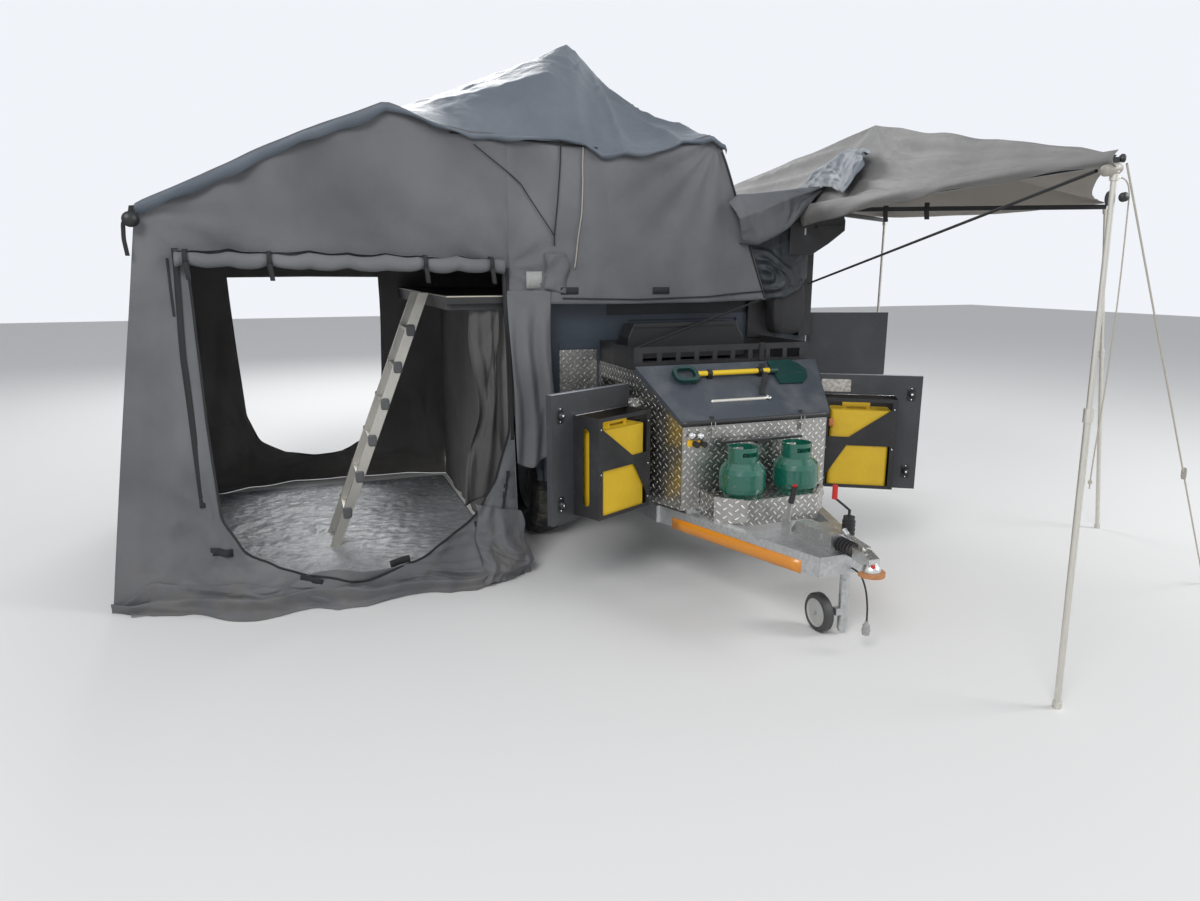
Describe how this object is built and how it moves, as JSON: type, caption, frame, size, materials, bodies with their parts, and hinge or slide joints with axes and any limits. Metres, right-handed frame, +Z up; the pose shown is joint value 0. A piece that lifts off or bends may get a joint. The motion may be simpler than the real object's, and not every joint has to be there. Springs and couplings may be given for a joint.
{
  "type": "off-road camping trailer",
  "caption": "Off-road camping trailer set up on its jockey wheel, with fold-out roof tent, annex room, fan awning, open nose doors and gas bottles.",
  "frame": {"origin": "centre of the 50 mm towing ball in the coupling head", "axes": "+Z up, +Y to the trailer's rear, +X to the trailer's left side"},
  "size_m": [6.2783, 5.0595, 3.2],
  "materials": {
    "canvas_grey": "coated ripstop cotton canvas",
    "fly_grey": "shiny coated fly sheet",
    "awning_taupe": "awning canvas",
    "groundsheet": "coated groundsheet",
    "galvanised": "hot dip galvanised",
    "charcoal_paint": "powder coat, fine texture",
    "tread_plate": "bright five-bar tread plate",
    "black_steel": "black powder coat",
    "bottle_green": "gloss enamel",
    "can_yellow": "moulded polyethylene",
    "shovel_green": "gloss enamel",
    "chrome_steel": "zinc bright",
    "guard_rubber": "moulded rubber",
    "black_rubber": "moulded rubber",
    "tyre_black": "off-road tyre",
    "rim_silver": "silver lacquer",
    "pole_alloy": "mill finish tube",
    "rope_cream": "braided guy rope",
    "lamp_red": "lamp lens",
    "floor_board": "sealed plywood in an aluminium edge"
  },
  "bodies": {
    "trailer": {"chassis_frame": "galvanised", "axle": "galvanised", "coupling_housing": "galvanised", "coupling_bellows": "black_rubber", "coupling_head": "chrome_steel", "coupling_handle": "chrome_steel", "coupling_guard": "guard_rubber", "handbrake_lever": "galvanised", "jockey_sleeve": "galvanised", "nose_box": "tread_plate", "gas_tray": "tread_plate", "gas_bottle_right": "bottle_green", "gas_bottle_left": "bottle_green", "gas_bar": "black_steel", "nose_basket": "black_steel", "body_shell": "charcoal_paint", "tail_lamps": "lamp_red", "tent_floor": "floor_board", "tent_roof": "fly_grey", "tent_walls": "canvas_grey", "annex_walls": "canvas_grey", "annex_floor": "groundsheet", "door_roll": "canvas_grey", "ladder": "pole_alloy", "awning_post": "black_steel", "awning_arms": "black_steel", "awning_canopy": "awning_taupe", "awning_poles": "pole_alloy", "awning_cover": "fly_grey", "side_bag": "black_steel", "trailer_cable": "black_rubber", "cable_plug": "black_rubber", "guy_rope": "rope_cream", "guy_knot": "rope_cream"},
    "road_wheel_right": {"tyre_right": "tyre_black", "rim_right": "rim_silver"},
    "road_wheel_left": {"tyre_left": "tyre_black", "rim_left": "rim_silver"},
    "jockey_leg": {"jockey_leg": "galvanised"},
    "jockey_fork": {"jockey_fork": "galvanised"},
    "jockey_wheel": {"jockey_wheel": "rim_silver"},
    "nose_lid": {"nose_lid": "charcoal_paint", "shovel": "shovel_green"},
    "nose_door_right": {"nose_door_right": "charcoal_paint", "can_holder_right": "black_steel", "fuel_can_right": "can_yellow"},
    "nose_door_left": {"nose_door_left": "charcoal_paint", "can_holder_left": "black_steel", "fuel_can_left": "can_yellow"},
    "locker_door_left": {"locker_door_left": "charcoal_paint"}
  },
  "joints": [
    {"name": "road_wheel_right_spin", "type": "hinge", "parent": "trailer", "child": "road_wheel_right", "pos_m": [-0.862, 2.48, -0.075], "axis": [1, 0, 0], "continuous": true},
    {"name": "road_wheel_left_spin", "type": "hinge", "parent": "trailer", "child": "road_wheel_left", "pos_m": [0.862, 2.48, -0.075], "axis": [1, 0, 0], "continuous": true},
    {"name": "jockey_lift", "type": "slide", "parent": "trailer", "child": "jockey_leg", "axis": [0, 0, 1], "range_m": [-0.1, 0.1]},
    {"name": "jockey_swivel", "type": "hinge", "parent": "jockey_leg", "child": "jockey_fork", "pos_m": [0.092, 0.3, -0.155], "axis": [0, 0, 1], "continuous": true},
    {"name": "jockey_spin", "type": "hinge", "parent": "jockey_fork", "child": "jockey_wheel", "pos_m": [0.007, 0.375, -0.355], "axis": [1, 0, 0], "continuous": true},
    {"name": "nose_lid_hinge", "type": "hinge", "parent": "trailer", "child": "nose_lid", "pos_m": [0, 1.37, 0.804], "axis": [-1, 0, 0], "range_deg": [0, 80]},
    {"name": "nose_door_right_hinge", "type": "hinge", "parent": "trailer", "child": "nose_door_right", "pos_m": [-0.631, 1.372, 0.345], "axis": [0, 0, 1], "range_deg": [-117, 5]},
    {"name": "nose_door_left_hinge", "type": "hinge", "parent": "trailer", "child": "nose_door_left", "pos_m": [0.631, 1.372, 0.345], "axis": [0, 0, -1], "range_deg": [-122, 0]},
    {"name": "locker_door_left_hinge", "type": "hinge", "parent": "trailer", "child": "locker_door_left", "pos_m": [0.984, 2.03, 0.745], "axis": [0, 0, -1], "range_deg": [-110, 20]}
  ]
}
